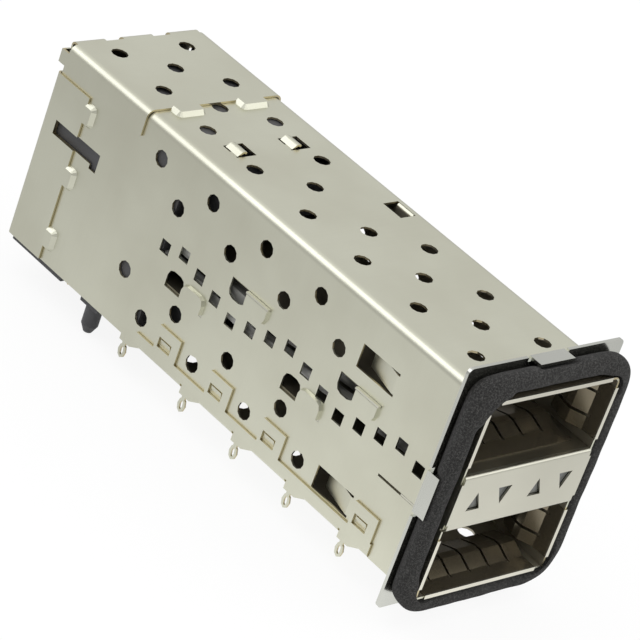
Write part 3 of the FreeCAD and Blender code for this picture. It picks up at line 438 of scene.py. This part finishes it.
def grid_mesh(name, points):
    """Closed mesh from a grid of points that wraps in both directions."""
    rows, columns = points.shape[:2]
    index = np.arange(rows * columns).reshape(rows, columns)
    right = np.roll(index, -1, axis=1)
    faces = np.stack([index, right, np.roll(right, -1, axis=0), np.roll(index, -1, axis=0)], axis=-1)
    mesh = bpy.data.meshes.new(name)
    mesh.from_pydata(points.reshape(-1, 3).tolist(), [], faces.reshape(-1, 4).tolist())
    mesh.polygons.foreach_set("use_smooth", np.ones(len(mesh.polygons), dtype=bool))
    piece = bpy.data.objects.new(name, mesh)
    bpy.context.scene.collection.objects.link(piece)
    return piece


def skin_ring(out, corner, turns):
    """Outline about the mouth's middle at a distance out of the cage's skin, with its own corner radius."""
    return rounded_ring(CAGE_HALF + out, (CAGE_TOP - CAGE_FLOOR) / 2 + out, corner, turns)


def foam_gasket():
    """Foam ring: a superellipse section carried round the mouth, narrower towards the flange.

    Across c and depth d of the section follow sgn(cos a)|cos a|^(2/n) and sgn(sin a)|sin a|^(2/n), and a
    point lies at inner + (outer - inner)(1 + c)/2. Behind the widest place both outlines draw in to the
    foot by d^1.5. In the corners the front bulges forward, and its lip takes a rounder inner outline.
    Smooth steps press the rear of the outer side in under the flange's tabs.
    """
    turns = np.linspace(0, 2 * np.pi, FOAM_AROUND, endpoint=False)
    around = np.linspace(0, 2 * np.pi, FOAM_SECTION, endpoint=False)
    across = np.sign(np.cos(around)) * np.abs(np.cos(around)) ** (2 / FOAM_SQUARENESS)
    depth = np.sign(np.sin(around)) * np.abs(np.sin(around)) ** (2 / FOAM_SQUARENESS)
    seat = skin_ring(FOAM_INNER, FOAM_SEAT_ROUND, turns)
    lip = skin_ring(FOAM_INNER, FOAM_LIP_ROUND, turns)
    outer = skin_ring(FOAM_OUTER, FOAM_OUTER_ROUND, turns)
    outer[:, 1] += FOAM_OUTER_EXTRA * smooth(outer[:, 1] / outer[:, 1].max())
    feet = [skin_ring(out, corner, turns) for out, corner in zip(FOAM_FOOT, FOAM_FOOT_ROUND)]
    foot_inner, foot_outer = feet
    foot_outer[:, 1] += FOAM_FOOT_EXTRA * smooth(outer[:, 1] / outer[:, 1].max())
    from_tab = np.abs(outer).min(axis=1) - FOAM_PINCH_HALF
    pressed = smooth((FOAM_PINCH_FADE - from_tab) / FOAM_PINCH_FADE)
    foot_tight = skin_ring(FOAM_FOOT_TIGHT, FOAM_FOOT_ROUND[1], turns)
    foot_outer += (foot_tight - foot_outer) * pressed[:, None]
    cornered = np.linalg.norm(seat - lip, axis=1)
    cornered = smooth(FOAM_CORNER_GAIN * cornered / cornered.max())
    waves = sum(strength * np.sin(count * turns + phase) for count, strength, phase in FOAM_WAVES)
    sag = FOAM_LIP_SHARE + (1 - FOAM_LIP_SHARE) * np.maximum(0, np.cos(turns - FOAM_LIP_TURN))
    lip = seat + (lip - seat) * sag[:, None]
    bulge = FOAM_LIP * cornered[:, None] * smooth(FOAM_BULGE_END - across)
    ahead = FOAM_MIDDLE - FOAM_FRONT + FOAM_LUMPS * waves[:, None] + bulge
    front_part, rear_part = np.minimum(depth, 0), np.maximum(depth, 0)
    y = FOAM_MIDDLE + ahead * front_part + (FOAM_REAR - FOAM_MIDDLE) * rear_part
    lipped = 1 - smooth((y - y.min(axis=1)[:, None]) / FOAM_LIP_DEPTH)
    drawn = (rear_part ** FOAM_DRAW)[None, :, None]
    begin, full = FOAM_PINCH_RAMP
    pinch = FOAM_PINCH * pressed[:, None] * smooth((depth - begin) / (full - begin)) * (1 - rear_part)
    narrowed = 1 - pinch / np.abs(outer).max(axis=1)[:, None]
    inner = seat[:, None, :] + (lip - seat)[:, None, :] * lipped[:, :, None]
    inner = inner + (foot_inner[:, None, :] - inner) * drawn
    rim = outer[:, None, :] * narrowed[:, :, None]
    rim = rim + (foot_outer[:, None, :] - rim) * drawn
    flat = inner + (rim - inner) * ((1 + across) / 2)[None, :, None]
    height = flat[:, :, 1] + CAGE_MIDDLE
    return grid_mesh("foam_gasket", np.stack([flat[:, :, 0], y + MOUTH, height], axis=-1))


def dress(materials):
    """Gives every CAD node the finish that the record names for it."""
    for part in frame["record"]["subparts"]:
        piece = frame["nodes"][part["node"]]
        for holder in piece.material_slots:
            holder.material = materials[part["material_slot"]]


def make_materials():
    """One finish for each material slot of the record."""
    plate = plated_sheet_group()
    edges = sheared_edge_group()
    inside = cage_inside_group()
    port = port_depth_group()
    return {
        # the cage, separator and spring sheets carry painted shade inside
        "cage_sheet": sheet_material("cage_sheet", plate, CAGE_PLATE, inside, CAGE_PAINTED_SHADE, edges),
        "separator_sheet": sheet_material("separator_sheet", plate, SEPARATOR_PLATE, port, SEPARATOR_PAINTED_SHADE,
                                          Start=SEPARATOR_START),
        "flange_sheet": sheet_material("flange_sheet", plate, FLANGE_PLATE),
        "spring_sheet": sheet_material("spring_sheet", plate, SPRING_PLATE, port, SPRING_PAINTED_SHADE,
                                       Start=SPRING_START),
        "contact_metal": sheet_material("contact_metal", plate, CONTACT_PLATE),
        "gasket_foam": foam_material(),
        "black_moulding": moulding_material(),
        "light_guide": light_guide_material(),
    }


def make_world():
    """Soft studio light from above; cameras see plain white, reflections a sky dimmer at the horizon."""
    world = bpy.data.worlds.new("studio")
    bpy.context.scene.world = world
    world.use_nodes = True
    tree = world.node_tree
    way = add(tree, "ShaderNodeTexCoord").outputs["Generated"]
    height = add(tree, "ShaderNodeSeparateXYZ", Vector=way).outputs["Z"]
    path = tree.nodes.new("ShaderNodeLightPath").outputs
    level = maths(tree, "MAXIMUM", path["Is Camera Ray"], path["Is Transmission Ray"])
    skies = (("Is Glossy Ray", MIRROR_LEVELS), ("Is Diffuse Ray", DIFFUSE_LEVELS))
    for ray, (horizon, overhead) in skies:
        sky = ramp(tree, height, -1.0, 1.0, 2 * horizon - overhead, overhead)
        level = maths(tree, "MAXIMUM", level, maths(tree, "MULTIPLY", path[ray], sky))
    tree.nodes["Background"].inputs["Color"].default_value = WHITE
    tree.links.new(level, tree.nodes["Background"].inputs["Strength"])


def make_floor():
    """White floor under the lowest point; part of its white is plain, so its shadow stays light.

    In reflections it is brightest in front of the part and fades with distance.
    """
    height = cad_box[0][2] - FLOOR_DROP
    half = FLOOR_SIZE / 2
    mesh = bpy.data.meshes.new("floor")
    signs = ((-1, -1), (1, -1), (1, 1), (-1, 1))
    mesh.from_pydata([(x * half, y * half, height) for x, y in signs], [], [(0, 1, 2, 3)])
    floor = bpy.data.objects.new("floor", mesh)
    bpy.context.scene.collection.objects.link(floor)
    material, tree, surface = blank_material("floor_white")
    surface.inputs["Base Color"].default_value = FLOOR_COLOUR
    surface.inputs["Roughness"].default_value = 1
    surface.inputs["Specular IOR Level"].default_value = 0
    place = add(tree, "ShaderNodeTexCoord").outputs["Object"]
    away = add(tree, "ShaderNodeVectorMath", {"operation": "DISTANCE"})
    tree.links.new(place, away.inputs[0])
    away.inputs[1].default_value = (*BRIGHT_PATCH, height)
    near, far = FLOOR_MIRROR_LEVELS
    faded = ramp(tree, away.outputs["Value"], -PATCH_REACH, PATCH_REACH, 2 * near - far, far)
    path = tree.nodes.new("ShaderNodeLightPath").outputs
    clear = maths(tree, "MAXIMUM", path["Is Camera Ray"], path["Is Transmission Ray"])
    mirrored = maths(tree, "MULTIPLY", path["Is Glossy Ray"], faded)
    strength = maths(tree, "MAXIMUM", mirrored, clear)
    seen = maths(tree, "MAXIMUM", path["Is Glossy Ray"], clear)
    glow = add(tree, "ShaderNodeEmission", Color=WHITE, Strength=strength)
    blend = tree.nodes.new("ShaderNodeMixShader")
    tree.links.new(maths(tree, "MULTIPLY", seen, FLOOR_GLOW), blend.inputs[0])
    tree.links.new(surface.outputs[0], blend.inputs[1])
    tree.links.new(glow.outputs[0], blend.inputs[2])
    tree.links.new(blend.outputs[0], tree.nodes["Material Output"].inputs["Surface"])
    mesh.materials.append(material)


def soft_box(name, direction, distance, size, power, colour=(1, 1, 1)):
    """Square lamp that looks at the middle of the part from a direction."""
    middle = (Vector(cad_box[0]) + Vector(cad_box[1])) / 2
    lamp = bpy.data.lights.new(name, "AREA")
    lamp.size = size
    lamp.energy = power
    lamp.color = colour
    holder = bpy.data.objects.new(name, lamp)
    way = direction.normalized()
    turn = way.to_track_quat("Z", "Y").to_matrix().to_4x4()
    holder.matrix_world = Matrix.Translation(middle + way * distance) @ turn
    bpy.context.scene.collection.objects.link(holder)


def make_camera():
    """Camera by place, azimuth, elevation and roll."""
    azimuth, elevation, roll = (math.radians(a) for a in (CAMERA_AZIMUTH, CAMERA_ELEVATION, CAMERA_ROLL))
    ahead = Vector((math.sin(azimuth) * math.cos(elevation), math.cos(azimuth) * math.cos(elevation),
                    math.sin(elevation)))
    level = ahead.cross(Vector((0, 0, 1))).normalized()
    upright = level.cross(ahead)
    right = level * math.cos(roll) + upright * math.sin(roll)
    up = upright * math.cos(roll) - level * math.sin(roll)
    camera = bpy.data.cameras.new("camera")
    camera.lens = CAMERA_LENS
    camera.sensor_width = CAMERA_SENSOR
    camera.clip_start = CAMERA_CLIP
    holder = bpy.data.objects.new("camera", camera)
    axes = Matrix((right, up, -ahead)).transposed().to_4x4()
    holder.matrix_world = Matrix.Translation(CAMERA_PLACE) @ axes
    bpy.context.scene.collection.objects.link(holder)
    bpy.context.scene.camera = holder


materials = make_materials()
dress(materials)
gasket = foam_gasket()
gasket.data.materials.append(materials["gasket_foam"])
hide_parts("gasket")
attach(gasket, "root")
make_world()
make_floor()
soft_box("key", KEY_DIRECTION, KEY_DISTANCE, KEY_SIZE, KEY_POWER, KEY_COLOUR)
soft_box("fill", FILL_DIRECTION, FILL_DISTANCE, FILL_SIZE, FILL_POWER)
make_camera()
bpy.context.scene.view_settings.view_transform = "Standard"
